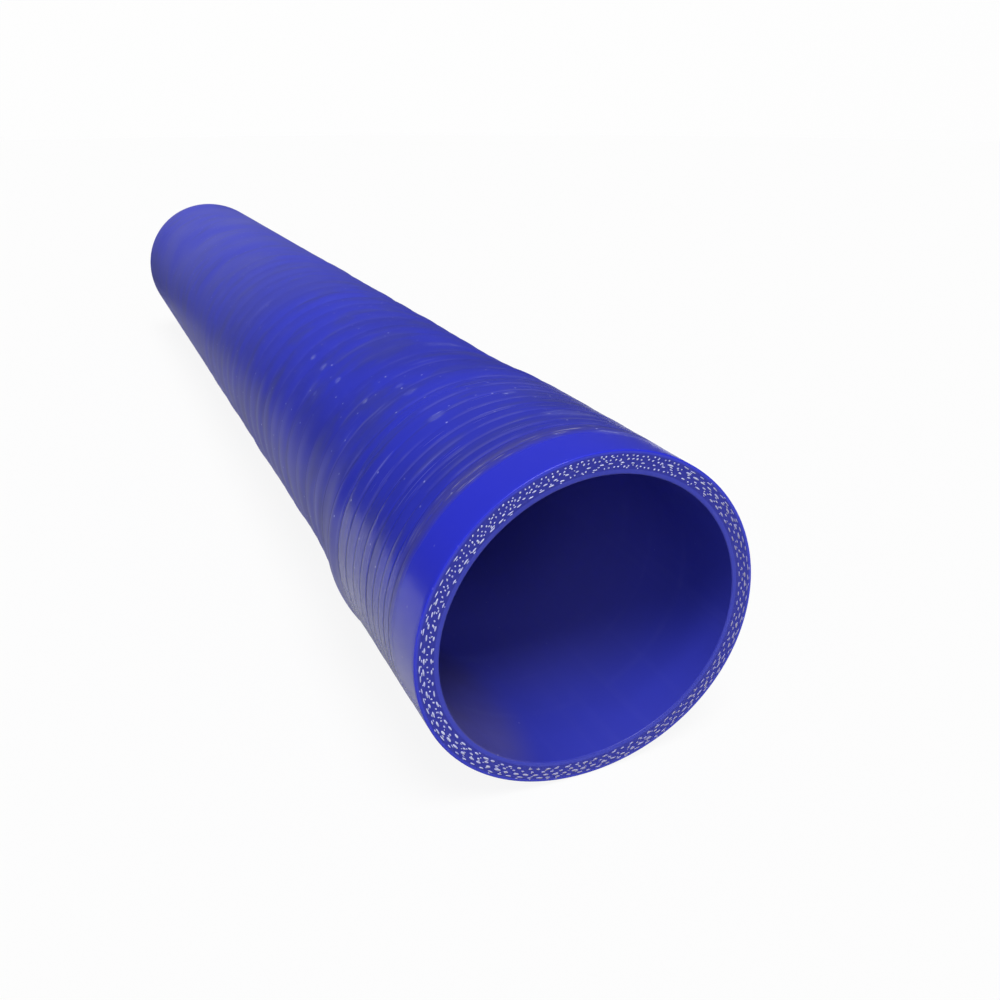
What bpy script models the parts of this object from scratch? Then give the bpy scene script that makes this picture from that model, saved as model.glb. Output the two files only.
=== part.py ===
"""A straight silicone rubber hose, moulded in one piece over a stepped mandrel.

The hose lies on its side along Y, with its wide mouth at -Y and its narrow end
at +Y. The floor is the plane z = 0, and the origin is under the middle of the
hose. All sizes are in metres.
"""

import bpy
from math import atan2, cos, exp, hypot, pi, radians, sin
from mathutils import Matrix

# The tube
HOSE_LENGTH = 0.500
WIDE_BORE = 0.0700
NARROW_BORE = 0.0667
WALL = 0.0053

# The step from the wide bore to the narrow one, measured from the mouth
STEP_START = 0.057
STEP_LENGTH = 0.039

# The smooth cuff at the mouth, and the marks that the wrapping tape leaves
CUFF_LENGTH = 0.0155
FINE_MARK_PITCH = 0.0050
FINE_MARK_HEIGHT = 0.00025
BAND_PITCH = 0.0117
BAND_HEIGHT = 0.00035
BAND_FULL_LENGTH = 0.140
BAND_FADE_LENGTH = 0.110
CREST_SHARE = 0.3

# The soft lip that swells on one side of the step, seen along the hose
LIP_HEIGHT = 0.0009
LIP_REACH = 0.0050
LIP_BEHIND_STEP_START = 0.005
LIP_DIRECTION = radians(203)
LIP_HALF_ANGLE = radians(72)

# How the soft rubber sits on the floor: the mouth sags wider and lower and its
# underside flattens. Being wider, the mouth lifts the axis a little at its end,
# and the narrow end has a small flat spot to lie on
SAG_OVAL = 0.0214
SAG_UNDERSIDE = 0.0075
SAG_FADE_LENGTH = 0.0375
FLAT_SPOT_DEPTH = 0.00015
MOUTH_LIFT = 0.0007

# How finely the round surface is divided
SEGMENTS = 48
SHARPEST_SMOOTH_ANGLE = radians(35)
PLAIN_ROW_SPACING = 0.050
SMALLEST_ROW_SPACING = 0.0008

SILICONE_BLUE = (0.034, 0.040, 0.485, 1.0)
SILICONE_ROUGHNESS = 0.32

WIDE_RADIUS = WIDE_BORE / 2 + WALL
NARROW_RADIUS = NARROW_BORE / 2 + WALL
STEP_END = STEP_START + STEP_LENGTH
BAND_FADE_START = STEP_END + BAND_FULL_LENGTH
BAND_END = min(BAND_FADE_START + BAND_FADE_LENGTH, HOSE_LENGTH)
AXIS_HEIGHT = NARROW_RADIUS - FLAT_SPOT_DEPTH


def smooth_share(value):
    """Ease from 0 to 1 as value goes from 0 to 1."""
    share = min(max(value, 0.0), 1.0)
    return share * share * (3 - 2 * share)


def body_radius(along):
    """Outer radius of the bare tube, at a distance along it from the mouth."""
    drop = WIDE_RADIUS - NARROW_RADIUS
    return WIDE_RADIUS - drop * smooth_share((along - STEP_START) / STEP_LENGTH)


def mark_rows(start, end, pitch, height):
    """Foot and crest of each tape mark, as pairs of distance and height."""
    rows = []
    count = int((end - start) / pitch)
    for number in range(count):
        foot = start + number * pitch
        rows.append((foot, 0.0))
        rows.append((foot + pitch * CREST_SHARE, height(foot)))
    rows.append((start + count * pitch, 0.0))
    return rows


def fine_height(along):
    return FINE_MARK_HEIGHT


def band_height(along):
    """The broad bands stand full behind the step, then fade along the hose."""
    return BAND_HEIGHT * (1 - smooth_share((along - BAND_FADE_START) / BAND_FADE_LENGTH))


def plain_rows(start, end, spacing):
    """Evenly spaced rows with no mark on them."""
    count = max(1, round((end - start) / spacing))
    return [(start + (end - start) * number / count, 0.0) for number in range(count + 1)]


def outer_profile():
    """Points down the outside, from the narrow end to the mouth."""
    rows = plain_rows(0.0, CUFF_LENGTH, CUFF_LENGTH)
    rows += mark_rows(CUFF_LENGTH, STEP_START, FINE_MARK_PITCH, fine_height)
    rows += plain_rows(STEP_START, STEP_START + LIP_REACH, LIP_BEHIND_STEP_START)
    rows += mark_rows(STEP_START + LIP_REACH, BAND_END, BAND_PITCH, band_height)
    rows += plain_rows(BAND_END, HOSE_LENGTH, PLAIN_ROW_SPACING)
    kept = [rows[0]]
    for row in rows[1:]:
        if row[0] - kept[-1][0] > SMALLEST_ROW_SPACING:
            kept.append(row)
    kept[-1] = rows[-1]
    return [(body_radius(along) + height, along) for along, height in reversed(kept)]


def bore_profile():
    """Points up the bore, from the mouth to the narrow end."""
    rows = plain_rows(0.0, STEP_START, STEP_START)
    rows += plain_rows(STEP_START, STEP_END, STEP_LENGTH / 4)[1:]
    rows += plain_rows(STEP_END, HOSE_LENGTH, HOSE_LENGTH)[1:]
    return [(body_radius(along) - WALL, along) for along, _ in rows]


def turn_profile(name, points):
    """Turn a closed profile of radius and distance pairs about the hose's axis."""
    middle = HOSE_LENGTH / 2
    corners = [(radius, 0.0, along - middle) for radius, along in points]
    edges = [(number, (number + 1) % len(corners)) for number in range(len(corners))]
    outline = bpy.data.meshes.new(name + "_outline")
    outline.from_pydata(corners, edges, [])
    turned = bpy.data.objects.new(name + "_outline", outline)
    bpy.context.scene.collection.objects.link(turned)
    screw = turned.modifiers.new("Turn", "SCREW")
    screw.axis = "Z"
    screw.angle = 2 * pi
    screw.steps = SEGMENTS
    screw.render_steps = SEGMENTS
    screw.use_merge_vertices = True
    screw.merge_threshold = 0.00001
    evaluated = turned.evaluated_get(bpy.context.evaluated_depsgraph_get())
    mesh = bpy.data.meshes.new_from_object(evaluated)
    mesh.name = name
    bpy.data.objects.remove(turned)
    bpy.data.meshes.remove(outline)
    return mesh


def lay_along_y(mesh):
    """Lay the upright tube down, with a facet and not an edge underneath."""
    half_a_facet = Matrix.Rotation(pi / SEGMENTS, 4, "Z")
    mesh.transform(Matrix.Rotation(-pi / 2, 4, "X") @ half_a_facet)


def sag_swell(along, angle):
    """How much the sag adds to the radius. It dies away behind the step."""
    oval = SAG_OVAL * cos(2 * angle)
    underside = SAG_UNDERSIDE * sin(3 * angle)
    return (oval - underside) * min(1.0, exp((STEP_START - along) / SAG_FADE_LENGTH))


def lip_swell(along, angle):
    """How far the lip stands out of the outside."""
    from_crest = (along - STEP_START - LIP_BEHIND_STEP_START) / LIP_REACH
    facing = cos(angle - LIP_DIRECTION)
    edge = cos(LIP_HALF_ANGLE)
    share = smooth_share((facing - edge) / (1 - edge))
    return LIP_HEIGHT * share * exp(-from_crest * from_crest)


def axis_height(along):
    """How high the axis lies over the floor."""
    return AXIS_HEIGHT + MOUTH_LIFT * (1 - along / HOSE_LENGTH)


def settle(mesh):
    """Give the round tube its soft lip, its sagging mouth and its flat spot."""
    for vertex in mesh.vertices:
        across, place, up = vertex.co
        along = place + HOSE_LENGTH / 2
        angle = atan2(up, across)
        radius = hypot(across, up)
        outside = radius > body_radius(along) - WALL / 2
        floor = 0.0 if outside else WALL
        radius *= 1 + sag_swell(along, angle)
        if outside:
            radius += lip_swell(along, angle)
        height = axis_height(along) + radius * sin(angle)
        vertex.co = (radius * cos(angle), place, max(height, floor))


def silicone():
    """Glossy blue silicone rubber."""
    material = bpy.data.materials.new("blue_silicone")
    material.use_nodes = True
    shader = material.node_tree.nodes["Principled BSDF"]
    shader.inputs["Base Color"].default_value = SILICONE_BLUE
    shader.inputs["Roughness"].default_value = SILICONE_ROUGHNESS
    shader.inputs["Metallic"].default_value = 0.0
    material.diffuse_color = SILICONE_BLUE
    return material


def make_hose(collection):
    """The whole hose, as one moulded piece."""
    mesh = turn_profile("hose", outer_profile() + bore_profile())
    lay_along_y(mesh)
    settle(mesh)
    mesh.shade_smooth()
    mesh.set_sharp_from_angle(angle=SHARPEST_SMOOTH_ANGLE)
    mesh.materials.clear()
    mesh.materials.append(silicone())
    hose = bpy.data.objects.new("hose", mesh)
    collection.objects.link(hose)
    return hose


def main():
    for old in list(bpy.data.objects):
        bpy.data.objects.remove(old, do_unlink=True)
    collection = bpy.data.collections.new("silicone_hose")
    bpy.context.scene.collection.children.link(collection)
    make_hose(collection)


main()
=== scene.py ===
# %% [markdown]
# # A blue silicone hose
#
# The hose is a straight tube of silicone rubber with four plies of woven cloth
# inside its wall. It was wrapped by hand on a stepped mandrel, bound tightly with
# tape, cured, and cut square at both ends. One end is a little wider than the
# other. It lies on its side along Y, with its wide mouth at -Y.
#
# This lesson dresses that plain tube: the camera and the light come first, then
# the fine form of the rubber, then its finish, and last the cut yarns.

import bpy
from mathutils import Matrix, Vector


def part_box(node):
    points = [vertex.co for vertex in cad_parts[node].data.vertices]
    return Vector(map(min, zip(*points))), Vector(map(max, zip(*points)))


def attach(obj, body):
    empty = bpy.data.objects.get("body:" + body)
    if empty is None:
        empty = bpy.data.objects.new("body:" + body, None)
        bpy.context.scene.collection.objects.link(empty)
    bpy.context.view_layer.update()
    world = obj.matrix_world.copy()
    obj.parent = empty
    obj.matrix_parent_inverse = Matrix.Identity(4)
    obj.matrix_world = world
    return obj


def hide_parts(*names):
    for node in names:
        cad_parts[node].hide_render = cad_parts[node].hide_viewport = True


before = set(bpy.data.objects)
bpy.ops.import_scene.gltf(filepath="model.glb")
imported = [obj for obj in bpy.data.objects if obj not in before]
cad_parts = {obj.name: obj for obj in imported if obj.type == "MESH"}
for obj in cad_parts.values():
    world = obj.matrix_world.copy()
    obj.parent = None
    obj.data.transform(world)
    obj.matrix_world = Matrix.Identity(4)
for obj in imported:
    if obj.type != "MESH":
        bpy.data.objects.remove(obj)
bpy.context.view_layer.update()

from math import cos, log, pi, radians, sin

import bpy
import numpy as np
from mathutils import Vector

hose_low, hose_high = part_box("hose")
print("the plain tube reaches from", hose_low, "to", hose_high)

# %% [markdown]
# ## Sizes
#
# The hose is half a metre long with a 70 mm bore at its mouth. A short taper
# behind the mouth brings the bore down to 66.7 mm, where the mandrel had a step.
# Every distance along the hose is measured from the mouth, in metres.

# %% Sizes of the tube
LENGTH = hose_high[1] - hose_low[1]
MOUTH_Y = hose_low[1]
WALL = 0.0053
WIDE_RADIUS = 0.0403
NARROW_RADIUS = 0.03865
STEP_START = 0.057
STEP_LENGTH = 0.039
AXIS_HEIGHT = 0.0385
MOUTH_LIFT = 0.0007


def axis_height(along):
    """The wider mouth lifts the axis a little at its end."""
    return AXIS_HEIGHT + MOUTH_LIFT * (1 - along / LENGTH)


print("length", round(LENGTH, 4), "m, wall", WALL, "m")

# %% [markdown]
# ## The camera
#
# The photograph looks down into the wide mouth from only some 20 cm away, so the
# near end is large and the far end shrinks quickly. A real lens close to a thing
# does that, and the only way to match it is to put the camera at the same place:
# a place, two angles and a focal length settle it.

# %% Camera
CAMERA_PLACE = (-0.09214, -0.40331, 0.14519)
LOOK_DOWN = radians(23.324)
LOOK_RIGHT = radians(24.465)
LENS_MM = 34.462
SENSOR_MM = 36
NEAREST_SEEN = 0.01

camera_data = bpy.data.cameras.new("camera")
camera_data.lens = LENS_MM
camera_data.sensor_width = SENSOR_MM
camera_data.clip_start = NEAREST_SEEN
camera = bpy.data.objects.new("camera", camera_data)
camera.location = CAMERA_PLACE
camera.rotation_euler = (pi / 2 - LOOK_DOWN, 0, -LOOK_RIGHT)
bpy.context.scene.collection.objects.link(camera)
bpy.context.scene.camera = camera
to_mouth = Vector((0, MOUTH_Y, axis_height(0))) - camera.location
print("the mouth is", round(to_mouth.length, 3), "m from the camera")

# %% [markdown]
# ## The floor and the sweep
#
# A glossy thing shows its surroundings, so the room is part of its look. The
# hose lies on a wide white floor, and a white sweep stands round it.
#
# Both have to look white, but more light would bleach the rubber. So most of
# their white is made for the camera, for reflections and for glass only, with the
# Light Path node. The rest is real light on matt white, which holds the shadow of
# the hose. In reflections the real light has the larger share on the floor, so
# that the rubber mirrors its own soft shadow too. The sweep stops no light, which
# could otherwise not come in low from the front.

# %% White studio material
SEEN_GREY = 0.80
UNSEEN_GREY = 0.16


def grey(value):
    return (value, value, value, 1)


def studio_white(name, own_white, mirrored_white):
    """White where it is seen or mirrored, and darker where it only lights things."""
    material = bpy.data.materials.new(name)
    material.use_nodes = True
    tree = material.node_tree
    tree.nodes.clear()
    matt = tree.nodes.new("ShaderNodeBsdfDiffuse")
    matt.inputs["Color"].default_value = grey(SEEN_GREY)
    unseen = tree.nodes.new("ShaderNodeBsdfDiffuse")
    unseen.inputs["Color"].default_value = grey(UNSEEN_GREY)
    plain = tree.nodes.new("ShaderNodeEmission")
    rays = tree.nodes.new("ShaderNodeLightPath")
    seen = rays.outputs["Is Camera Ray"]
    share = tree.nodes.new("ShaderNodeMath")
    share.operation = "MULTIPLY_ADD"
    share.inputs[1].default_value = own_white - mirrored_white
    share.inputs[2].default_value = mirrored_white
    tree.links.new(seen, share.inputs[0])
    white = tree.nodes.new("ShaderNodeMixShader")
    tree.links.new(share.outputs[0], white.inputs["Fac"])
    tree.links.new(matt.outputs["BSDF"], white.inputs[1])
    tree.links.new(plain.outputs["Emission"], white.inputs[2])
    for other in ("Is Glossy Ray", "Is Transmission Ray"):
        either = tree.nodes.new("ShaderNodeMath")
        either.operation = "MAXIMUM"
        tree.links.new(seen, either.inputs[0])
        tree.links.new(rays.outputs[other], either.inputs[1])
        seen = either.outputs[0]
    both = tree.nodes.new("ShaderNodeMixShader")
    tree.links.new(seen, both.inputs["Fac"])
    tree.links.new(unseen.outputs["BSDF"], both.inputs[1])
    tree.links.new(white.outputs["Shader"], both.inputs[2])
    end = tree.nodes.new("ShaderNodeOutputMaterial")
    tree.links.new(both.outputs["Shader"], end.inputs["Surface"])
    return material


print("matt grey", SEEN_GREY, "where it is seen,", UNSEEN_GREY, "where it is not")

# %% Floor and sweep
FLOOR_GAP = 0.0002
FLOOR_HOLE = 0.001
FLOOR_RADIUS = 3.0
SWEEP_HEIGHT = 1.6
RING_SIDES = 96


def ring_mesh(name, rings):
    """A mesh of oval rings, each two half widths, a middle and a height."""
    corners = []
    faces = []
    for half_x, half_y, middle_y, height in rings:
        for side in range(RING_SIDES):
            turn = 2 * pi * side / RING_SIDES
            corners.append((half_x * cos(turn), middle_y + half_y * sin(turn), height))
    for ring in range(len(rings) - 1):
        for side in range(RING_SIDES):
            here = ring * RING_SIDES + side
            beside = ring * RING_SIDES + (side + 1) % RING_SIDES
            faces.append((here, beside, beside + RING_SIDES, here + RING_SIDES))
    mesh = bpy.data.meshes.new(name)
    mesh.from_pydata(corners, [], faces)
    return mesh


floor_middle = (FLOOR_HOLE, FLOOR_HOLE, 0, -FLOOR_GAP)
floor_edge = (FLOOR_RADIUS, FLOOR_RADIUS, 0, -FLOOR_GAP)
sweep_top = (FLOOR_RADIUS, FLOOR_RADIUS, 0, SWEEP_HEIGHT)
for name, rings, own_white, mirrored_white in (
    ("floor", [floor_middle, floor_edge], 0.90, 0.20),
    ("sweep", [floor_edge, sweep_top], 0.97, 1.0),
):
    white_sheet = bpy.data.objects.new(name, ring_mesh(name, rings))
    white_sheet.data.materials.append(studio_white(name + "_white", own_white, mirrored_white))
    bpy.context.scene.collection.objects.link(white_sheet)
    white_sheet.visible_diffuse = name == "floor"
    white_sheet.visible_shadow = name == "floor"
    print(name, "reaches up to", rings[-1][-1], "m")

# %% [markdown]
# ## The flags
#
# A photographer keeps the white of a big sweep out of a glossy surface with
# flags, which are dark cards just outside the picture. Several cards could stand
# round the hose. One ring of dark card does the same here with a single edge, and
# only reflections see it. The rubber then mirrors the white floor close beside it
# and the dark card beyond, which draws the clear edge of the grey band along its
# flank.

# %% Dark flags
FLAG_HALF_X = 0.36
FLAG_HALF_Y = 0.54
FLAG_MIDDLE_Y = -0.20
FLAG_HEIGHT = 0.45
FLAG_GREY = 0.15
FLAG_ROUGHNESS = 0.9

flag_rings = [(FLAG_HALF_X, FLAG_HALF_Y, FLAG_MIDDLE_Y, height) for height in (0.0, FLAG_HEIGHT)]
flags = bpy.data.objects.new("flags", ring_mesh("flags", flag_rings))
dark_card = bpy.data.materials.new("dark_card")
dark_card.use_nodes = True
card = dark_card.node_tree.nodes["Principled BSDF"]
card.inputs["Base Color"].default_value = grey(FLAG_GREY)
card.inputs["Roughness"].default_value = FLAG_ROUGHNESS
flags.data.materials.append(dark_card)
bpy.context.scene.collection.objects.link(flags)
flags.visible_camera = False
flags.visible_diffuse = False
flags.visible_shadow = False
print("the flags stand", round(FLAG_HALF_X - hose_high[0], 3), "m from the flank")

# %% [markdown]
# ## The light
#
# The light is one broad soft lamp, up, to the left and a little in front, and a
# wide weak window in front that reaches into the bore, in a dim grey room. Lamps
# close by would do, but their light falls off along the hose. Two suns with a wide
# spread are as soft and light both ends alike.

# %% Room light and lamps
ROOM_GREY = 0.13
# Each lamp has a direction that it shines from, a strength and a spread in degrees
LAMPS = (
    ("soft_lamp", (-0.04, -0.38, 0.90), 2.45, 30),
    ("window_in_front", (-0.45, -1.0, 0.08), 2.1, 100),
)

world = bpy.data.worlds.new("dim_room")
world.use_nodes = True
room = world.node_tree.nodes["Background"]
room.inputs["Color"].default_value = grey(ROOM_GREY)
bpy.context.scene.world = world

for name, way, strength, spread in LAMPS:
    lamp_data = bpy.data.lights.new(name, "SUN")
    lamp_data.energy = strength
    lamp_data.angle = radians(spread)
    lamp = bpy.data.objects.new(name, lamp_data)
    lamp.location = Vector(way).normalized()
    lamp.rotation_euler = Vector(way).to_track_quat("Z", "Y").to_euler()
    bpy.context.scene.collection.objects.link(lamp)
    print(name, "shines from", [round(value, 2) for value in lamp.location])
bpy.context.scene.view_settings.view_transform = "Standard"

# %% [markdown]
# ## The form of the rubber
#
# Three things shape the hose beyond a plain tube. The step of the mandrel makes
# the taper, with a soft lip on one side where rubber was pushed up. The soft
# mouth sags a little under its own weight, wider and lower, with a flatter
# underside. And the tube has a small flat spot that it lies on.
#
# They could be sculpted by hand. Instead each is a small formula of the distance
# along and the angle round, so they can be added up at any point of the surface.

# %% Taper, lip and sag
LIP_HEIGHT = 0.0009
LIP_REACH = 0.0050
LIP_CREST = STEP_START + 0.005
LIP_DIRECTION = radians(203)
LIP_HALF_ANGLE = radians(72)
SAG_OVAL = 0.0214
SAG_UNDERSIDE = 0.0075
SAG_FADE_LENGTH = 0.0375


def ease(value):
    """Ease from 0 to 1 as value goes from 0 to 1."""
    share = np.clip(value, 0, 1)
    return share * share * (3 - 2 * share)


def tube_radius(along):
    drop = WIDE_RADIUS - NARROW_RADIUS
    return WIDE_RADIUS - drop * ease((along - STEP_START) / STEP_LENGTH)


def sag(along, angle):
    oval = SAG_OVAL * np.cos(2 * angle) - SAG_UNDERSIDE * np.sin(3 * angle)
    return 1 + oval * np.minimum(1, np.exp((STEP_START - along) / SAG_FADE_LENGTH))


def lip(along, angle):
    edge = cos(LIP_HALF_ANGLE)
    share = ease((np.cos(angle - LIP_DIRECTION) - edge) / (1 - edge))
    return LIP_HEIGHT * share * np.exp(-(((along - LIP_CREST) / LIP_REACH) ** 2))


print("radius at the mouth", WIDE_RADIUS, "and behind the step", NARROW_RADIUS)

# %% [markdown]
# ## The marks of the wrapping tape
#
# While the rubber cures, a tape holds it tight on the mandrel. The tape goes
# round and round like a bandage, so its edges leave one long helix of shallow
# grooves, with the rubber between them pressed into low, slightly rounded panels.
# Near the mouth the turns lie close, 3 mm apart and then wider. From the step on
# they are regular, 11.7 mm apart, and they fade out along the hose.
#
# A spiral could be cut into the mesh, but the helix is written here as one number
# that counts the turns of tape. Where it is whole there is a groove. The same
# count is built again in the shader, so that wear can follow the grooves exactly.

# %% Counting the turns of tape
CUFF_LENGTH = 0.0125
TURN_GROWTH = 1.10
FINE_TURNS = 10
STEP_CREST = 0.0615
BAND_PITCH = 0.0117
FIRST_PITCH = (STEP_CREST - CUFF_LENGTH) * (TURN_GROWTH - 1) / (TURN_GROWTH**FINE_TURNS - 1)
LEFT_SIDE = 0.25
# The tape wanders in waves: how many go round, how high in turns, and where they start
WANDERS = ((1, 0.16, 0.7), (2, 0.10, 2.1), (5, 0.045, 4.0))


def tape_count(along, angle):
    """How many turns of tape lie between the cuff and a point on the outside."""
    fine = np.log1p(np.maximum(along - CUFF_LENGTH, 0) * (TURN_GROWTH - 1) / FIRST_PITCH)
    broad = FINE_TURNS + (along - STEP_CREST) / BAND_PITCH
    count = np.where(along < STEP_CREST, fine / log(TURN_GROWTH), broad)
    from_top = np.arctan2(-np.cos(angle), np.sin(angle))
    count = count - from_top / (2 * pi) + LEFT_SIDE
    for waves, height, start in WANDERS:
        count = count + height * np.sin(waves * from_top + start)
    return count


print("first turn of tape", round(FIRST_PITCH * 1000, 2), "mm wide")

# %% Relief of the tape
FINE_HEIGHT = 0.00010
BAND_HEIGHT = 0.00030
FIRST_RISE = 0.0012
BROAD_START = 0.054
BROAD_EASE = 0.012
BROAD_ROUNDING = 0.75
BAND_FADE_START = 0.236
BAND_FADE_LENGTH = 0.110
LAST_SHARE = 0.12
PANEL_SHARPNESS = 5.0
FLASH_HEIGHT = 0.00003
FLASH_PLACE = 0.16
FLASH_WIDTH = 0.05
TURN_RNG = np.random.default_rng(11)
UNEVEN = TURN_RNG.uniform(0.35, 1.35, 64)
UNEVEN_START = TURN_RNG.uniform(0, 2 * pi, 64)
UNEVEN_ROUND = 0.35


def tape_relief(along, angle):
    """How far the panels between the grooves stand out of the tube."""
    count = tape_count(along, angle)
    turn = np.floor(count)
    place = count - turn
    number = turn.astype(int) % len(UNEVEN)
    uneven = UNEVEN[number] * (1 + UNEVEN_ROUND * np.sin(3 * angle + UNEVEN_START[number]))
    pressed = 1 - np.abs(2 * place - 1) ** PANEL_SHARPNESS
    rounded = np.sin(pi * place) ** 2
    broad = ease((along - BROAD_START) / BROAD_EASE)
    shape = pressed * (1 - BROAD_ROUNDING * broad) + rounded * BROAD_ROUNDING * broad
    fade = 1 - (1 - LAST_SHARE) * ease((along - BAND_FADE_START) / BAND_FADE_LENGTH)
    height = (FINE_HEIGHT * (1 - broad) + BAND_HEIGHT * broad) * fade * uneven
    flash = FLASH_HEIGHT * (1 - broad) * np.exp(-(((place - FLASH_PLACE) / FLASH_WIDTH) ** 2))
    start = ease((along - CUFF_LENGTH) / FIRST_RISE)
    return (height * shape + flash) * start


print("on average the bands stand", round(BAND_HEIGHT * UNEVEN.mean() * 1000, 2), "mm out")

# %% [markdown]
# ## The mesh of the hose
#
# The hose is one closed skin: down the outside, over the rounded rim, across the
# cut face, over the inner rim and back up the bore. Each row of the mesh has a
# distance along and a depth into the wall, from 0 on the outside to 1 in the
# bore. A plain cylinder with an even grid would need far more faces. Here rows are
# packed closely where the tape marks are fine and spread out where the tube is
# plain, which spends the faces where they show.

# %% Rows of the mesh
COLUMNS = 160
RIM_RADIUS = 0.00025
RIM_STEPS = 3
FACE_STEPS = 5
CUFF_ROWS = 10
FINE_ROW = 0.00025
BAND_ROW = 0.0007
PLAIN_ROW = 0.0021
BORE_ROW = 0.0125
FINE_ROWS_END = 0.062
BAND_ROWS_END = 0.200
LAST_ROW_SPACE = 0.003
RIM_DEPTH = RIM_RADIUS / WALL


def outer_rows():
    """Distances of the rows on the outside, from the mouth to the far end."""
    cuff = np.linspace(RIM_RADIUS, CUFF_LENGTH, CUFF_ROWS, endpoint=False)
    fine = np.arange(CUFF_LENGTH, FINE_ROWS_END, FINE_ROW)
    bands = np.arange(FINE_ROWS_END, BAND_ROWS_END, BAND_ROW)
    plain = np.arange(BAND_ROWS_END, LENGTH - LAST_ROW_SPACE, PLAIN_ROW)
    return [*cuff, *fine, *bands, *plain, LENGTH - RIM_RADIUS]


def rim_rows(at_mouth):
    """Rows over the outer rim, the cut face and the inner rim of one end."""
    rows = []
    for step in range(1, RIM_STEPS + 1):
        turn = pi / 2 * step / RIM_STEPS
        rows.append((RIM_RADIUS * (1 - sin(turn)), RIM_DEPTH * (1 - cos(turn))))
    for step in range(1, FACE_STEPS):
        rows.append((0.0, RIM_DEPTH + (1 - 2 * RIM_DEPTH) * step / FACE_STEPS))
    rows += [(along, 1 - depth) for along, depth in reversed(rows[:RIM_STEPS])]
    if at_mouth:
        return [(along, 1 - depth) for along, depth in rows]
    return [(LENGTH - along, depth) for along, depth in rows]


outer = [(along, 0.0) for along in outer_rows()]
bore = [(along, 1.0) for along in np.arange(LENGTH - RIM_RADIUS, RIM_RADIUS, -BORE_ROW)]
bore.append((RIM_RADIUS, 1.0))
rows = outer + rim_rows(at_mouth=False) + bore + rim_rows(at_mouth=True)
print(len(rows), "rows of", COLUMNS, "columns")

# %% Skin of the hose
def hose_points(rows, columns):
    """The point of the surface at each row and column."""
    along = np.array([row[0] for row in rows])[:, None]
    depth = np.array([row[1] for row in rows])[:, None]
    angle = (2 * pi * (np.arange(columns) + 0.5) / columns - pi / 2)[None, :]
    outside = tube_radius(along) * sag(along, angle) + lip(along, angle)
    outside = outside + tape_relief(along, angle)
    inside = (tube_radius(along) - WALL) * sag(along, angle)
    radius = outside * (1 - depth) + inside * depth
    across = radius * np.cos(angle)
    up = np.maximum(axis_height(along) + radius * np.sin(angle), WALL * depth)
    place = np.broadcast_to(along + MOUTH_Y, up.shape)
    return np.stack([across, place, up], axis=-1).reshape(-1, 3)


def closed_skin(name, rows, columns):
    """A closed mesh that joins each row to the next and the last to the first."""
    points = hose_points(rows, columns)
    row = np.arange(len(rows))[:, None]
    column = np.arange(columns)[None, :]
    next_row = (row + 1) % len(rows)
    next_column = (column + 1) % columns
    quads = np.stack(
        [
            row * columns + column,
            row * columns + next_column,
            next_row * columns + next_column,
            next_row * columns + column,
        ],
        axis=-1,
    ).reshape(-1, 4)
    mesh = bpy.data.meshes.new(name)
    mesh.from_pydata(points.tolist(), [], quads.tolist())
    mesh.shade_smooth()
    return mesh


skin = closed_skin("silicone_hose", rows, COLUMNS)
hose = bpy.data.objects.new("silicone_hose", skin)
bpy.context.scene.collection.objects.link(hose)
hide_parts("hose")
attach(hose, "root")
print(2 * len(skin.polygons), "triangles in the hose")

# %% [markdown]
# ## Drawing with nodes
#
# The finish is drawn with shader nodes. They could be placed one by one, but the
# few short calls below wire them up. Each call takes plain numbers or the output
# of another node, so that a formula in the shader reads much like one in the
# script.

# %% Short calls for sums
def feed(tree, socket, value):
    """Link an output to a socket, or set the socket to a plain value."""
    if isinstance(value, bpy.types.NodeSocket):
        tree.links.new(value, socket)
    else:
        socket.default_value = value


def calc(tree, operation, *values, clamp=False):
    node = tree.nodes.new("ShaderNodeMath")
    node.operation = operation
    node.use_clamp = clamp
    for socket, value in zip(node.inputs, values):
        feed(tree, socket, value)
    return node.outputs[0]


def times(tree, product, *others):
    """Multiply any number of values."""
    for other in others:
        product = calc(tree, "MULTIPLY", product, other)
    return product


def line(tree, value, slope, start):
    """A straight line: slope times the value, plus start."""
    return calc(tree, "MULTIPLY_ADD", value, slope, start)


def ramp(tree, value, low, high, bottom=0.0, top=1.0):
    """Ease from bottom to top as the value goes from low to high."""
    node = tree.nodes.new("ShaderNodeMapRange")
    node.interpolation_type = "SMOOTHSTEP"
    for socket, part in zip(node.inputs, (value, low, high, bottom, top)):
        feed(tree, socket, part)
    return node.outputs[0]


print("short calls for sums are ready")

# %% Short calls for places and colours
def object_place(tree):
    return tree.nodes.new("ShaderNodeTexCoord").outputs["Object"]


def split_place(tree, place):
    node = tree.nodes.new("ShaderNodeSeparateXYZ")
    feed(tree, node.inputs[0], place)
    return node.outputs


def vector(tree, *parts):
    node = tree.nodes.new("ShaderNodeCombineXYZ")
    for socket, part in zip(node.inputs, parts):
        feed(tree, socket, part)
    return node.outputs[0]


def noise(tree, place, scale, detail=2.0):
    node = tree.nodes.new("ShaderNodeTexNoise")
    feed(tree, node.inputs["Vector"], place)
    node.inputs["Scale"].default_value = scale
    node.inputs["Detail"].default_value = detail
    return node.outputs["Fac"]


def paint(tree, share, under, over):
    """Lay one colour over another."""
    node = tree.nodes.new("ShaderNodeMix")
    node.data_type = "RGBA"
    feed(tree, node.inputs[0], share)
    feed(tree, node.inputs[6], under)
    feed(tree, node.inputs[7], over)
    return node.outputs[2]


print("short calls for places and colours are ready")

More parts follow.
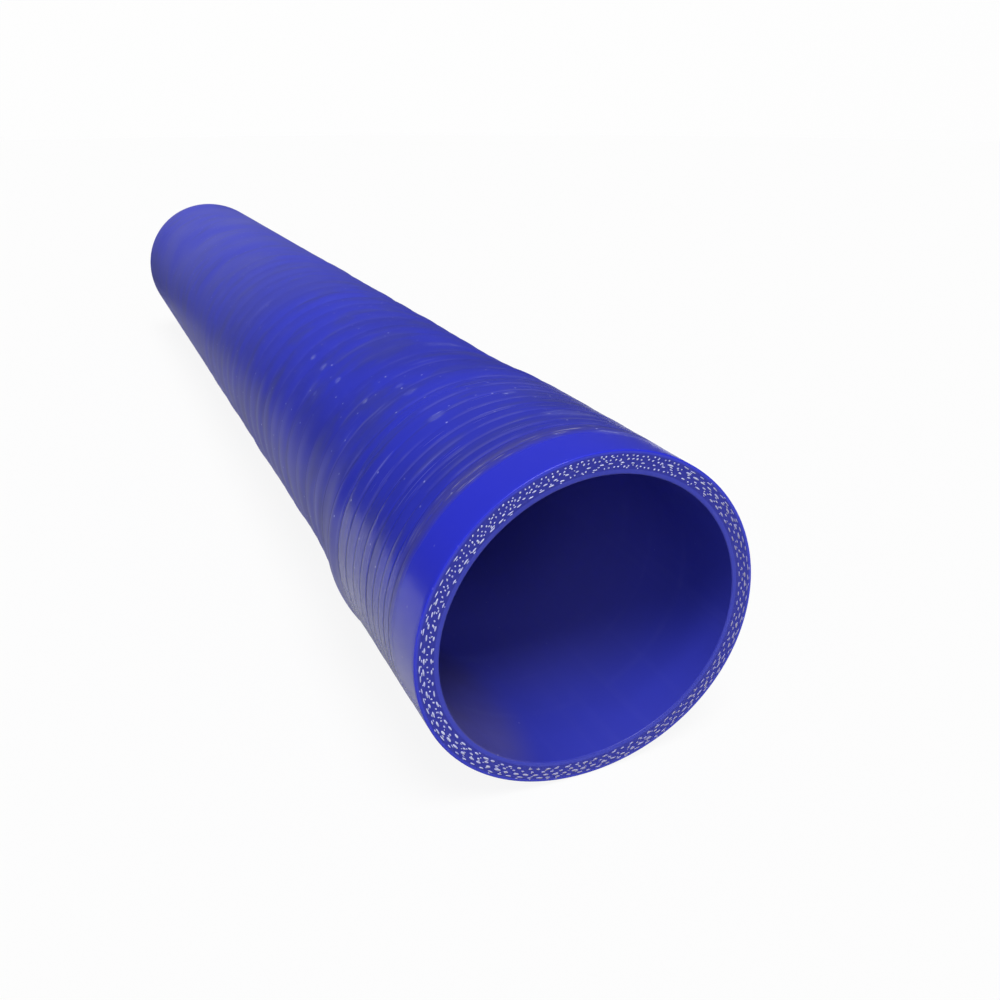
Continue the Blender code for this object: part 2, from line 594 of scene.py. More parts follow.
# %% Short calls for groups
def new_group(name, wants, gives):
    """An effect that several materials share, with named inputs and outputs."""
    group = bpy.data.node_groups.new(name, "ShaderNodeTree")
    for socket_name, value in wants:
        socket = group.interface.new_socket(
            socket_name, in_out="INPUT", socket_type="NodeSocketFloat"
        )
        socket.default_value = value
    for socket_name in gives:
        group.interface.new_socket(
            socket_name, in_out="OUTPUT", socket_type="NodeSocketFloat"
        )
    start = group.nodes.new("NodeGroupInput")
    end = group.nodes.new("NodeGroupOutput")
    return group, start.outputs, end.inputs


def use_group(tree, group, **values):
    node = tree.nodes.new("ShaderNodeGroup")
    node.node_tree = group
    for socket_name, value in values.items():
        feed(tree, node.inputs[socket_name.capitalize()], value)
    return node.outputs


print("short calls for groups are ready")

# %% [markdown]
# ## The tape count, once more as nodes
#
# Dust gathers in the grooves of the tape, and rubbing follows them. A painted
# picture could show that from one side. So that it fits at any size and from any
# side, the shader works out the same count of turns from the place on the hose,
# and from it the distance from the groove behind, in metres.

# %% Tape turns group
def make_tape_turns():
    group, _, gives = new_group(
        "tape turns", [], ["Along", "Around", "Count", "Since groove", "Near groove"]
    )
    place = split_place(group, object_place(group))
    along = calc(group, "SUBTRACT", place["Y"], MOUTH_Y)
    axis = line(group, along, -MOUTH_LIFT / LENGTH, axis_height(0))
    up = calc(group, "SUBTRACT", place["Z"], axis)
    left = times(group, place["X"], -1.0)
    around = calc(group, "ARCTAN2", left, up)

    past_cuff = calc(group, "MAXIMUM", calc(group, "SUBTRACT", along, CUFF_LENGTH), 0.0)
    grown = line(group, past_cuff, (TURN_GROWTH - 1) / FIRST_PITCH, 1.0)
    fine = calc(group, "LOGARITHM", grown, TURN_GROWTH)
    past_step = calc(group, "SUBTRACT", along, STEP_CREST)
    broad = line(group, past_step, 1 / BAND_PITCH, FINE_TURNS)
    on_broad = calc(group, "GREATER_THAN", past_step, 0.0)
    rest = calc(group, "SUBTRACT", broad, fine)
    count = calc(group, "MULTIPLY_ADD", rest, on_broad, fine)
    count = line(group, around, -1 / (2 * pi), count)
    count = calc(group, "ADD", count, LEFT_SIDE)
    for waves, height, start in WANDERS:
        wave = calc(group, "SINE", line(group, around, waves, start))
        count = line(group, wave, height, count)

    widening = log(TURN_GROWTH) / (TURN_GROWTH - 1)
    fine_pitch = times(group, grown, FIRST_PITCH * widening)
    wider = calc(group, "SUBTRACT", BAND_PITCH, fine_pitch)
    pitch = calc(group, "MULTIPLY_ADD", wider, on_broad, fine_pitch)
    since = times(group, calc(group, "FRACT", count), pitch)
    near = calc(group, "MINIMUM", since, calc(group, "SUBTRACT", pitch, since))
    for socket, value in zip(gives, (along, around, count, since, near)):
        feed(group, socket, value)
    return group


TAPE_TURNS = make_tape_turns()
print("the tape turns group has", len(TAPE_TURNS.nodes), "nodes")

# %% [markdown]
# ## Rubbed streaks and specks
#
# Where the tape slid over the soft rubber it left fine pale streaks, which run
# round the hose with the turns. Each could be drawn, but noise that is stretched a
# long way round and squeezed along gives streaks of uneven length by itself. The
# knife leaves the same kind of streaks on the cut faces.
#
# Dust and tiny chips show as light specks. They are cells scattered over the
# unrolled surface, of which only some get a speck.

# %% Streaks group
STREAK_LEVEL = 0.72
STREAK_EDGE = 0.16
LOWERED_BY_COVER = 0.3


def make_streaks():
    wants = [("Across", 0.0), ("Turning", 0.0), ("Fineness", 6.0), ("Length", 12.0), ("Cover", 0.4)]
    group, start, gives = new_group("rubbed streaks", wants, ["Mask"])
    squeezed = times(group, start["Across"], start["Fineness"])
    side = times(group, calc(group, "SINE", start["Turning"]), start["Length"])
    top = times(group, calc(group, "COSINE", start["Turning"]), start["Length"])
    lines = noise(group, vector(group, squeezed, side, top), 1.0, 3.0)
    lowered = times(group, start["Cover"], LOWERED_BY_COVER)
    low = calc(group, "SUBTRACT", STREAK_LEVEL, lowered)
    high = calc(group, "ADD", low, STREAK_EDGE)
    feed(group, gives["Mask"], ramp(group, lines, low, high))
    return group


STREAKS = make_streaks()


def streak_mask(tree, across, around, fineness, length, cover):
    values = {"across": across, "turning": around, "fineness": fineness}
    return use_group(tree, STREAKS, **values, length=length, cover=cover)["Mask"]


print("the streaks group has", len(STREAKS.nodes), "nodes")

# %% Specks group
SPECK_CORE = 0.4
DIMMEST_SPECK = 0.2


def make_specks():
    wants = [("Along", 0.0), ("Around", 0.0), ("Spacing", 0.009), ("Size", 0.0004), ("Cover", 0.4)]
    group, start, gives = new_group("specks", wants, ["Mask"])
    over = times(group, start["Around"], NARROW_RADIUS)
    unrolled = vector(
        group,
        calc(group, "DIVIDE", start["Along"], start["Spacing"]),
        calc(group, "DIVIDE", over, start["Spacing"]),
        0.0,
    )
    cells = group.nodes.new("ShaderNodeTexVoronoi")
    cells.voronoi_dimensions = "2D"
    cells.inputs["Scale"].default_value = 1.0
    feed(group, cells.inputs["Vector"], unrolled)
    reach = calc(group, "DIVIDE", start["Size"], start["Spacing"])
    dot = ramp(group, cells.outputs["Distance"], reach, times(group, reach, SPECK_CORE))
    chance = group.nodes.new("ShaderNodeSeparateColor")
    feed(group, chance.inputs[0], cells.outputs["Color"])
    kept = calc(group, "LESS_THAN", chance.outputs["Red"], start["Cover"])
    bright = line(group, chance.outputs["Green"], 1 - DIMMEST_SPECK, DIMMEST_SPECK)
    feed(group, gives["Mask"], times(group, dot, kept, bright))
    return group


SPECKS = make_specks()


def speck_mask(tree, along, around, spacing, size, cover):
    values = {"along": along, "around": around, "spacing": spacing}
    return use_group(tree, SPECKS, **values, size=size, cover=cover)["Mask"]


print("the specks group has", len(SPECKS.nodes), "nodes")

# %% [markdown]
# ## The outer rubber
#
# The cover is a strong blue, glossy on the bare cuff. Its look changes along the
# hose. Close behind the cuff the grooves hold dark lines of painted shade, with a
# pale edge of dust beside each. Further on a dry bloom and dust make the blue paler
# and duller, and the gloss softer. A few rubs have left pale patches, some small
# pale spots are painted glints, and grey-brown grime sits in the first groove
# behind the cuff.
#
# One colour with one noise over it would look like plastic. So each of these is a
# mask of its own, worked out from the place on the hose, and they are laid over
# the blue one after another, as the real marks were.

# %% Rubber shader
RUBBER_IOR = 1.41
CUFF_GLOSS = 0.20
BODY_GLOSS = 0.43
FAR_GLOSS = 0.50


def rubber_shader(name):
    """A new material with its tree, its shader and the rubber's own constants."""
    material = bpy.data.materials.new(name)
    material.use_nodes = True
    tree = material.node_tree
    shader = tree.nodes["Principled BSDF"]
    shader.inputs["IOR"].default_value = RUBBER_IOR
    return material, tree, shader


def bump(tree, shader, height, distance, strength):
    node = tree.nodes.new("ShaderNodeBump")
    node.inputs["Distance"].default_value = distance
    node.inputs["Strength"].default_value = strength
    feed(tree, node.inputs["Height"], height)
    tree.links.new(node.outputs["Normal"], shader.inputs["Normal"])


print("roughness", CUFF_GLOSS, "on the cuff and", FAR_GLOSS, "at the far end")

# %% [markdown]
# ### The blue itself
#
# Silicone takes its pigment unevenly, and the tape smears its skin. A plain colour
# is easy and lifeless, and a photograph of rubber would carry its own light. Soft
# noise between a few blues gives the unevenness, and it is the same noise that
# makes the bloom patchy.

# %% Blue of the cover
OUTER_BLUE = (0.027, 0.036, 0.67, 1)
WRAPPED_BLUE = (0.027, 0.037, 0.56, 1)
DEEP_BLUE = (0.021, 0.027, 0.36, 1)
DULL_BLUE = (0.042, 0.050, 0.29, 1)
BLOOM_BLUE = (0.28, 0.30, 0.86, 1)
SMEAR_SHARE = 0.42


def cover_blue(tree, turns, behind_cuff, mottle):
    """Strong blue on the cuff, deeper and smeared behind it, with bloom further on."""
    colour = paint(tree, behind_cuff, OUTER_BLUE, WRAPPED_BLUE)
    deep = ramp(tree, mottle, 0.35, 0.70, 0.0, 0.6)
    deep = times(tree, deep, line(tree, behind_cuff, 0.7, 0.3))
    colour = paint(tree, deep, colour, DEEP_BLUE)
    smears = streak_mask(tree, turns["Count"], turns["Around"], 1.3, 2.0, 0.75)
    colour = paint(tree, times(tree, smears, behind_cuff, SMEAR_SHARE), colour, DULL_BLUE)
    bloom = ramp(tree, turns["Along"], 0.06, 0.42)
    bloom = times(tree, bloom, ramp(tree, mottle, 0.2, 0.8, 0.16, 0.34))
    return paint(tree, bloom, colour, BLOOM_BLUE)


print("the cuff is", OUTER_BLUE[:3], "and the wrapped rubber", WRAPPED_BLUE[:3])

# %% [markdown]
# ### Painted shade in the grooves, and dust
#
# A groove is dark because little light gets into it, and fine dust stays on its
# edge. The mesh has the groove's form, but it is too coarse for a clear line less
# than a millimetre wide. The count of turns gives the distance from the groove,
# and a few ramps of it draw the line as painted shade, lighter on top, and the dust.

# %% Painted shade in the grooves, and the dust beside them
# Painted shade: the blue of the dark lines in the grooves
GROOVE_SHADE_BLUE = (0.012, 0.013, 0.14, 1)
GROOVE_EDGE = 0.00035
GROOVE_CORE = 0.00010
GROOVE_SHARES = (0.75, 0.30)
LOST_ON_TOP = 0.85
DUST_GREY = (0.20, 0.20, 0.42, 1)
DUST_FROM = (0.0, 0.0005)
DUST_TO = (0.0018, 0.0007)
DUST_SHARES = (0.22, 0.12)


def painted_groove_shade(tree, turns, behind_cuff, past_step, fading):
    """Painted shade: dark lines in the grooves, lighter on top where the light from above fills
    them.
    """
    on_top = ramp(tree, calc(tree, "COSINE", turns["Around"]), 0.0, 0.75)
    groove = ramp(tree, turns["Near groove"], GROOVE_EDGE, GROOVE_CORE)
    share = ramp(tree, past_step, 0.0, 1.0, *GROOVE_SHARES)
    groove = times(tree, groove, share, fading, behind_cuff)
    return times(tree, groove, line(tree, on_top, -LOST_ON_TOP, 1.0))


def dust_mask(tree, turns, place, behind_cuff, past_step, fading):
    """A patchy dusty edge beside each groove."""
    since = turns["Since groove"]
    dust = times(tree, ramp(tree, since, *DUST_FROM), ramp(tree, since, *DUST_TO))
    patchy = ramp(tree, noise(tree, place, 60.0, 3.0), 0.42, 0.62)
    share = ramp(tree, past_step, 0.0, 1.0, *DUST_SHARES)
    return times(tree, dust, patchy, fading, behind_cuff, share)


print("the dark lines are", round(2 * GROOVE_EDGE * 1000, 2), "mm wide")

# %% [markdown]
# ### Rubs, painted glints and grime
#
# A rub is a pale spot where another thing scraped the rubber, and grime is what a
# dirty hand leaves. The small pale spots are painted glints, painted highlights
# where the gloss would catch the light. They could be small pictures laid on the
# surface. Here each is an oval with a soft edge, and the streaks break it up into
# scratches.

# %% Rubs, painted glints and grime
# Pale of the rubs, and of the painted glints
RUB_AND_GLINT_PALE = (0.42, 0.46, 0.84, 1)
GRIME_BROWN = (0.075, 0.068, 0.13, 1)
SCUFF_GREY = (0.30, 0.29, 0.46, 1)
# Each rub and each painted glint has a distance along, an angle from the top, a
# half length, a half angle and a strength. The large soft ovals are rubs, the small
# ones painted glints.
RUBS_AND_GLINTS = (
    (0.0120, -0.30, 0.0022, 0.22, 0.8),
    (0.0260, -0.16, 0.0030, 0.22, 0.5),
    (0.0440, 0.00, 0.0009, 0.06, 1.0),
    (0.0460, 0.46, 0.0020, 0.07, 0.7),
    (0.0660, 0.44, 0.0020, 0.06, 0.6),
    (0.0740, 0.45, 0.0014, 0.04, 0.7),
    (0.0810, 0.68, 0.0016, 0.035, 0.9),
    (0.1060, 0.70, 0.0017, 0.035, 1.0),
    (0.1130, 0.89, 0.0012, 0.030, 0.9),
    (0.1210, 0.70, 0.0017, 0.045, 0.8),
    (0.1330, 0.70, 0.0018, 0.035, 1.0),
    (0.1000, -0.15, 0.0030, 0.20, 0.4),
)
GRIME = (0.0148, 0.45, 0.0036, 1.25)


def patch(tree, turns, middle, turned, half_long, half_round):
    """A soft oval patch, by its distance along and its angle from the top."""
    from_middle = calc(tree, "SUBTRACT", turns["Along"], middle)
    from_middle = calc(tree, "DIVIDE", from_middle, half_long)
    from_turn = calc(tree, "SUBTRACT", turns["Around"], turned)
    from_turn = calc(tree, "DIVIDE", from_turn, half_round)
    along_part = times(tree, from_middle, from_middle)
    round_part = times(tree, from_turn, from_turn)
    return ramp(tree, calc(tree, "ADD", along_part, round_part), 1.0, 0.0)


# Rubs and painted glints: soft pale ovals, broken up by the strokes
def rub_and_glint_mask(tree, turns, strokes):
    rubs_and_glints = 0.0
    for *oval, strength in RUBS_AND_GLINTS:
        spot = times(tree, patch(tree, turns, *oval), strength)
        rubs_and_glints = calc(tree, "MAXIMUM", rubs_and_glints, spot)
    return times(tree, rubs_and_glints, line(tree, strokes, 0.85, 0.15))


def lay_grime(tree, colour, grime, strokes, hairs):
    """Brown grime, scratched into fine grey hairs."""
    brown = times(tree, grime, line(tree, strokes, -0.35, 0.42))
    colour = paint(tree, brown, colour, GRIME_BROWN)
    scuffs = calc(tree, "MULTIPLY", times(tree, grime, hairs), 1.3, clamp=True)
    return paint(tree, scuffs, colour, SCUFF_GREY)


print(len(RUBS_AND_GLINTS), "rubs, and grime", round(GRIME[0] * 1000, 1), "mm from the mouth")

# %% [markdown]
# ### Everything laid together
#
# The marks lie over each other in the order in which the real ones came: the blue,
# the painted shade of the grooves and their dust, the streaks of the tape, and then
# the rubs and painted glints, the grime and the specks. The larger marks also change
# the gloss: streaks, grooves and grime are duller, and the rubs and glints are a
# little smoother.

# %% Outer rubber
STREAK_BLUE = (0.20, 0.22, 0.64, 1)
SPECK_WHITE = (0.42, 0.45, 0.85, 1)
STREAK_SHARE = 0.24
CUFF_EDGE = (CUFF_LENGTH - 0.001, CUFF_LENGTH + 0.003)
STEP_CHANGE = (0.060, 0.100)
MARKS_FADE = (0.180, 0.330)
MARKS_LEFT = 0.25
GLOSS_STEP = (0.050, 0.070)
GLOSS_FAR = (0.10, 0.45)


def make_outer_rubber():
    material, tree, shader = rubber_shader("outer_rubber")
    place = object_place(tree)
    turns = use_group(tree, TAPE_TURNS)
    along = turns["Along"]
    around = turns["Around"]
    behind_cuff = ramp(tree, along, *CUFF_EDGE)
    past_step = ramp(tree, along, *STEP_CHANGE)
    fading = ramp(tree, along, *MARKS_FADE, 1.0, MARKS_LEFT)
    mottle = noise(tree, place, 28.0, 4.0)
    hairs = streak_mask(tree, along, around, 2600.0, 4.5, 0.45)
    strokes = streak_mask(tree, along, around, 1700.0, 16.0, 0.55)

    colour = cover_blue(tree, turns, behind_cuff, mottle)
    # Painted shade in the grooves, lighter on top
    groove = painted_groove_shade(tree, turns, behind_cuff, past_step, fading)
    colour = paint(tree, groove, colour, GROOVE_SHADE_BLUE)
    dust = dust_mask(tree, turns, place, behind_cuff, past_step, fading)
    colour = paint(tree, dust, colour, DUST_GREY)
    streaks = streak_mask(tree, turns["Count"], around, 9.0, 2.2, 0.40)
    streaks = times(tree, streaks, behind_cuff, STREAK_SHARE)
    colour = paint(tree, streaks, colour, STREAK_BLUE)
    # Rubs and painted glints
    rubs_and_glints = rub_and_glint_mask(tree, turns, strokes)
    colour = paint(tree, rubs_and_glints, colour, RUB_AND_GLINT_PALE)
    grime = patch(tree, turns, *GRIME)
    colour = lay_grime(tree, colour, grime, strokes, hairs)
    specks = speck_mask(tree, along, around, 0.0065, 0.00034, 0.34)
    specks = times(tree, specks, line(tree, behind_cuff, 0.85, 0.15))
    colour = paint(tree, specks, colour, SPECK_WHITE)
    feed(tree, shader.inputs["Base Color"], colour)

    gloss = ramp(tree, along, *GLOSS_STEP, CUFF_GLOSS, BODY_GLOSS)
    gloss = calc(tree, "ADD", gloss, ramp(tree, along, *GLOSS_FAR, 0.0, FAR_GLOSS - BODY_GLOSS))
    for dulling, amount in ((streaks, 0.35), (groove, 0.20), (grime, 0.25), (rubs_and_glints, -0.10)):
        gloss = line(tree, dulling, amount, gloss)
    feed(tree, shader.inputs["Roughness"], line(tree, mottle, 0.08, gloss))

    height = line(tree, noise(tree, place, 900.0, 2.0), 0.15, streaks)
    bump(tree, shader, line(tree, groove, -0.5, height), 0.00010, 0.35)
    return material


skin.materials.append(make_outer_rubber())
print("outer rubber:", len(skin.materials[0].node_tree.nodes), "nodes")

# %% [markdown]
# ## The cut faces
#
# A knife cut the wall straight across, so its end is matt. It shows the wall's
# make: a bright cover on the outside, the darker rubber pressed between the
# plies, and a clear lining along the bore. Rings of separate faces could show
# them, but their edges would be too sharp. So how deep a point lies in the wall is
# kept on the mesh itself, as a value at each corner, and the shader reads that.

# %% Depth in the wall
depth_of_row = np.array([row[1] for row in rows], dtype=np.float32)
wall_depth = skin.attributes.new("wall_depth", "FLOAT", "POINT")
wall_depth.data.foreach_set("value", np.repeat(depth_of_row, COLUMNS))
print("depths from", depth_of_row.min(), "to", depth_of_row.max())

# %% Cut rubber
COVER_BLUE = (0.040, 0.052, 0.60, 1)
PLY_BLUE = (0.028, 0.034, 0.37, 1)
LINING_BLUE = (0.046, 0.058, 0.50, 1)
CHALK_BLUE = (0.18, 0.18, 0.50, 1)
PLIES_FROM = (0.10, 0.17)
PLIES_TO = (0.82, 0.77)
LINING_FROM = (0.5, 0.6)
KNIFE_SHARE = 0.12


def make_cut_rubber():
    material, tree, shader = rubber_shader("cut_rubber")
    attribute = tree.nodes.new("ShaderNodeAttribute")
    attribute.attribute_name = "wall_depth"
    depth = attribute.outputs["Fac"]
    around = use_group(tree, TAPE_TURNS)["Around"]
    grain = noise(tree, object_place(tree), 1500.0, 3.0)
    colour = paint(tree, ramp(tree, depth, *LINING_FROM), COVER_BLUE, LINING_BLUE)
    plies = times(tree, ramp(tree, depth, *PLIES_FROM), ramp(tree, depth, *PLIES_TO))
    colour = paint(tree, plies, colour, PLY_BLUE)
    knife = streak_mask(tree, depth, around, 14.0, 9.0, 0.5)
    colour = paint(tree, times(tree, knife, KNIFE_SHARE), colour, CHALK_BLUE)
    colour = paint(tree, ramp(tree, grain, 0.5, 0.8, 0.0, 0.15), colour, CHALK_BLUE)
    feed(tree, shader.inputs["Base Color"], colour)
    feed(tree, shader.inputs["Roughness"], ramp(tree, grain, 0.2, 0.8, 0.40, 0.55))
    bump(tree, shader, grain, 0.00008, 0.5)
    return material


skin.materials.append(make_cut_rubber())
print("cut rubber:", len(skin.materials[1].node_tree.nodes), "nodes")

# %% [markdown]
# ## The bore
#
# The lining was moulded on a smooth steel mandrel, so the bore is plain and
# evenly glossy. Only a few faint rings and drawn lines show, with some grey dust
# low on the left just inside the mouth.
#
# A bore darkens inwards by itself, but the real one stays clearly blue. A lamp
# inside would show as a highlight. So the blue itself is made paler inwards, as
# painted light in place of the light that does not reach so deep.

# %% Marks of the mandrel
BORE_RINGS = ((0.019, 0.0016, 0.05), (0.034, 0.0012, 0.03), (0.046, 0.0030, 0.07))
RING_CORE = 0.2
DRAWN_ACROSS = 220.0
DRAWN_ALONG = 5.0


def ring_mask(tree, along, place):
    """Faint broken rings, each by its distance, its half width and its strength."""
    rings = 0.0
    for middle, half, strength in BORE_RINGS:
        away = calc(tree, "ABSOLUTE", calc(tree, "SUBTRACT", along, middle))
        ring = ramp(tree, away, half, half * RING_CORE, 0.0, strength)
        rings = calc(tree, "MAXIMUM", rings, ring)
    return times(tree, rings, ramp(tree, noise(tree, place, 42.0, 2.0), 0.4, 0.65))


def drawn_mask(tree, place):
    """Fine lines along the bore, from the tube being drawn off the mandrel."""
    parts = split_place(tree, place)
    thin_x = times(tree, parts["X"], DRAWN_ACROSS)
    slow_y = times(tree, parts["Y"], DRAWN_ALONG)
    thin_z = times(tree, parts["Z"], DRAWN_ACROSS)
    return ramp(tree, noise(tree, vector(tree, thin_x, slow_y, thin_z), 1.0, 3.0), 0.52, 0.75)


print(len(BORE_RINGS), "rings in the bore")

# %% Bore rubber
BORE_BLUE = (0.033, 0.041, 0.42, 1)
BORE_DEEP = (0.028, 0.034, 0.34, 1)
# Painted light: the paler blue deeper in the bore
BORE_PAINTED_LIGHT = (0.15, 0.16, 0.88, 1)
BORE_DUST = (0.100, 0.088, 0.20, 1)
PAINTED_LIGHT_FROM = (0.010, 0.070)
PAINTED_LIGHT_SHARE = 0.60
DRAWN_SHARE = 0.02
DUST_PATCH = (0.024, 2.25, 0.040, 0.70)


def make_bore_rubber():
    material, tree, shader = rubber_shader("bore_rubber")
    place = object_place(tree)
    turns = use_group(tree, TAPE_TURNS)
    along = turns["Along"]
    mottle = noise(tree, place, 34.0, 4.0)
    colour = paint(tree, ramp(tree, mottle, 0.3, 0.75, 0.0, 0.6), BORE_BLUE, BORE_DEEP)
    # Painted light: the blue grows paler inwards
    painted_light = ramp(tree, along, *PAINTED_LIGHT_FROM, 0.0, PAINTED_LIGHT_SHARE)
    colour = paint(tree, painted_light, colour, BORE_PAINTED_LIGHT)
    rings = ring_mask(tree, along, place)
    colour = paint(tree, rings, colour, BLOOM_BLUE)
    drawn = drawn_mask(tree, place)
    colour = paint(tree, times(tree, drawn, DRAWN_SHARE), colour, BLOOM_BLUE)
    dust = patch(tree, turns, *DUST_PATCH)
    dust = times(tree, dust, ramp(tree, mottle, 0.25, 0.75, 0.35, 0.9))
    colour = paint(tree, dust, colour, BORE_DUST)
    specks = speck_mask(tree, along, turns["Around"], 0.014, 0.0003, 0.3)
    colour = paint(tree, times(tree, specks, 0.3), colour, SPECK_WHITE)
    feed(tree, shader.inputs["Base Color"], colour)
    gloss = line(tree, dust, 0.25, ramp(tree, mottle, 0.2, 0.8, 0.34, 0.46))
    feed(tree, shader.inputs["Roughness"], gloss)
    bump(tree, shader, calc(tree, "ADD", drawn, rings), 0.00006, 0.3)
    return material


skin.materials.append(make_bore_rubber())
print("bore rubber:", len(skin.materials[2].node_tree.nodes), "nodes")

# %% [markdown]
# ## Which face has which rubber
#
# The three rubbers meet at the two rims. The faces could be picked by hand, but
# the depth in the wall already tells them apart: less than the rim's own depth is
# the cover, more than the rest of the wall is the bore, and between them lies the
# cut.

# %% Materials by row
COVER_SLOT, CUT_SLOT, BORE_SLOT = range(3)
band_depth = (depth_of_row + np.roll(depth_of_row, -1)) / 2
inner_slots = np.where(band_depth > 1 - RIM_DEPTH, BORE_SLOT, CUT_SLOT)
slot_of_band = np.where(band_depth < RIM_DEPTH, COVER_SLOT, inner_slots)
slots = np.repeat(slot_of_band.astype(np.int32), COLUMNS)
skin.polygons.foreach_set("material_index", slots)
print("faces of the cover, the cuts and the bore:", np.bincount(slots).tolist())

# %% [markdown]
# ## The cut yarns
#
# The wall is cut straight across its four plies of woven cloth, so each ply shows
# as a row of cut yarns. Where the cut runs along a yarn it shows as a dash, and
# where it runs between two of them only the crossing yarns show, as pairs of dots.
#
# A picture of dashes would blur close up, so each yarn end is a tiny low pill of
# its own, sunk a little into the rubber. They are all one mesh at each end.

# %% Yarn rows
YARN_CELLS = 92
CELL_ANGLE = 2 * pi / YARN_CELLS
# Each ply has a depth in the wall, a stagger in cells, a dash's length and width,
# and the middle and half angle of the stretch where it shows as dots
YARN_ROWS = (
    (0.24, 0.00, 0.0020, 0.00028, radians(104), radians(44)),
    (0.39, 0.50, 0.0021, 0.00044, radians(112), radians(50)),
    (0.54, 0.15, 0.0013, 0.00036, radians(160), radians(36)),
    (0.69, 0.65, 0.0018, 0.00038, radians(75), radians(20)),
)
THICK_YARN_AT = radians(245)
THICKER_BY = 0.4
OUTWARD_AT = radians(315)
OUTWARD_BY = 0.05
YARN_SEED = 5

print(YARN_CELLS, "places for yarns in each of", len(YARN_ROWS), "plies")

# %% [markdown]
# ### One stroke for each yarn end
#
# No two yarn ends of the real cut are alike. Each could be placed by hand, but
# there are hundreds. A random length, width and lean within narrow limits keeps
# the order of the weave without its stiffness.

# %% Yarn strokes
def dots(rng, row_depth, middle):
    """Two fat dots side by side, and every second time or so a thin stroke too."""
    strokes = []
    for side in (-1, 1):
        depth = row_depth + rng.uniform(-0.02, 0.02)
        angle = middle + side * CELL_ANGLE * rng.uniform(0.17, 0.24)
        long = rng.uniform(0.00045, 0.00075)
        wide = rng.uniform(0.00034, 0.00046)
        strokes.append((depth, angle, long, wide, rng.uniform(0.2, 0.9)))
    if rng.uniform() < 0.5:
        depth = row_depth + rng.uniform(0.05, 0.08)
        angle = middle + rng.uniform(-0.2, 0.2) * CELL_ANGLE
        long = rng.uniform(0.0004, 0.0009)
        wide = rng.uniform(0.00022, 0.00032)
        strokes.append((depth, angle, long, wide, rng.uniform(-0.3, 0.3)))
    return strokes


def dash(rng, row_depth, middle, long, wide):
    """One dash, and about every second time a thin stray beside it."""
    long = long * rng.uniform(0.7, 1.15)
    wide = wide * rng.uniform(0.85, 1.15)
    strokes = [(row_depth, middle, long, wide, rng.uniform(-0.08, 0.08))]
    if rng.uniform() < 0.55:
        depth = row_depth + rng.choice([-1, 1]) * rng.uniform(0.06, 0.08)
        angle = middle + rng.uniform(-0.3, 0.3) * CELL_ANGLE
        stray = long * rng.uniform(0.3, 0.6)
        thin = rng.uniform(0.00020, 0.00028)
        strokes.append((depth, angle, stray, thin, rng.uniform(-0.15, 0.15)))
    return strokes


def yarn_strokes(rng):
    """Each yarn end as a depth, an angle, a length, a width and a lean."""
    strokes = []
    for depth, stagger, long, wide, dots_at, dots_half in YARN_ROWS:
        for cell in range(YARN_CELLS):
            middle = (cell + stagger + rng.uniform(-0.12, 0.12)) * CELL_ANGLE
            outward = OUTWARD_BY * (0.5 + 0.5 * cos(middle - OUTWARD_AT))
            row_depth = depth - outward + rng.uniform(-0.014, 0.014)
            off_dots = abs((middle - dots_at + pi) % (2 * pi) - pi)
            thick = 1 + THICKER_BY * max(0, cos(middle - THICK_YARN_AT)) ** 2
            if off_dots < dots_half + rng.uniform(-0.12, 0.12):
                strokes += dots(rng, row_depth, middle)
            else:
                strokes += dash(rng, row_depth, middle, long, wide * thick)
    return strokes


print("yarn ends at the mouth:", len(yarn_strokes(np.random.default_rng(YARN_SEED))))

# %% Yarn mesh
YARN_SINK = 0.00010
YARN_RISE = 0.00004
YARN_TOP = 0.78
PILL_SIDES = 8


def face_point(end, depth, angle, out):
    """A point on a cut face: end is 0 at the mouth, 1 at the far end."""
    along = LENGTH * end
    outside = tube_radius(along) * sag(along, angle) + lip(along, angle)
    inside = (tube_radius(along) - WALL) * sag(along, angle)
    radius = outside * (1 - depth) + inside * depth
    up = max(axis_height(along) + radius * sin(angle), WALL * depth)
    outward = 1 if end else -1
    return (radius * cos(angle), MOUTH_Y + along + outward * out, up)


def pill_ring(end, stroke, scale, out):
    """The points round one pill, at a share of its size and a height over the face."""
    depth, angle, long, wide, lean = stroke
    points = []
    for side in range(PILL_SIDES):
        turn = 2 * pi * side / PILL_SIDES
        along_yarn = long / 2 * cos(turn) * scale
        over_yarn = wide / 2 * sin(turn) * scale
        around = along_yarn * cos(lean) - over_yarn * sin(lean)
        inward = along_yarn * sin(lean) + over_yarn * cos(lean)
        points.append(face_point(end, depth + inward / WALL, angle + around / WIDE_RADIUS, out))
    return points


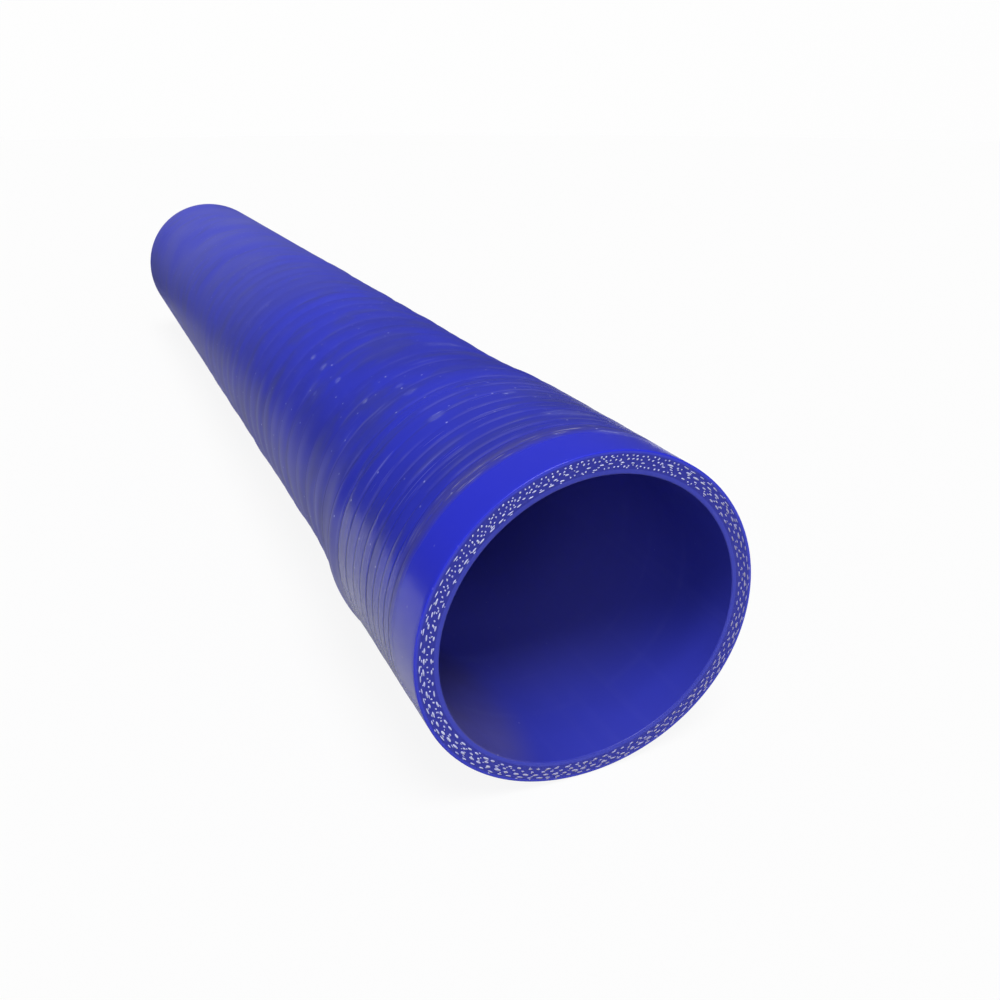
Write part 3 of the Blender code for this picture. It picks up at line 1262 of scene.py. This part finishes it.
def yarn_mesh(name, end, seed):
    corners = []
    faces = []
    for stroke in yarn_strokes(np.random.default_rng(seed)):
        low = list(range(len(corners), len(corners) + PILL_SIDES))
        high = [corner + PILL_SIDES for corner in low]
        corners += pill_ring(end, stroke, 1.0, -YARN_SINK)
        corners += pill_ring(end, stroke, YARN_TOP, YARN_RISE)
        for side in range(PILL_SIDES):
            beside = (side + 1) % PILL_SIDES
            faces.append((low[side], low[beside], high[beside], high[side]))
        faces.append(tuple(high))
        faces.append(tuple(reversed(low)))
    mesh = bpy.data.meshes.new(name)
    mesh.from_pydata(corners, [], faces)
    if end == 0:
        mesh.flip_normals()
    mesh.shade_smooth()
    return mesh


print("each yarn end stands", YARN_RISE * 1000, "mm out of the cut")

# %% [markdown]
# ### The finish of the yarn
#
# The yarn is matt and pale, with grey-beige dust and painted shade at the lower
# right. Each pill could have its own colour, but dust and shade don't keep to single
# yarns. So one material goes from clean and lit to dusty and shaded round the hose,
# and fine noise frays it.

# %% Yarn finish
YARN_WHITE = (0.74, 0.77, 1.0, 1)
YARN_SHADE = (0.40, 0.42, 0.88, 1)
# Grey-beige dust together with painted shade, for the lower right of the cut
YARN_DUSTY_AND_SHADED = (0.42, 0.39, 0.50, 1)
SOILED_AND_SHADED_TURN = 2.3 + pi / 2


def make_yarn():
    """Clean yarn at the top left, and yarn with grey-beige dust and painted shade at the lower
    right.
    """
    material, tree, shader = rubber_shader("yarn")
    around = use_group(tree, TAPE_TURNS)["Around"]
    fray = noise(tree, object_place(tree), 1400.0, 3.0)
    # Darker towards the lower right: grey-beige dust and painted shade
    soiled_and_shaded = calc(tree, "SINE", calc(tree, "ADD", around, SOILED_AND_SHADED_TURN))
    colour = paint(tree, ramp(tree, soiled_and_shaded, -0.4, 0.5), YARN_WHITE, YARN_DUSTY_AND_SHADED)
    colour = paint(tree, ramp(tree, fray, 0.35, 0.7, 0.0, 0.8), colour, YARN_SHADE)
    feed(tree, shader.inputs["Base Color"], colour)
    feed(tree, shader.inputs["Roughness"], ramp(tree, fray, 0.2, 0.8, 0.55, 0.8))
    bump(tree, shader, fray, 0.00008, 0.5)
    return material


yarn_material = make_yarn()
for end, name in ((0, "yarn_ends_at_mouth"), (1, "yarn_ends_at_far_end")):
    yarns = bpy.data.objects.new(name, yarn_mesh(name, end, YARN_SEED + end))
    yarns.data.materials.append(yarn_material)
    bpy.context.scene.collection.objects.link(yarns)
    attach(yarns, "root")
    print(name, len(yarns.data.polygons), "faces")
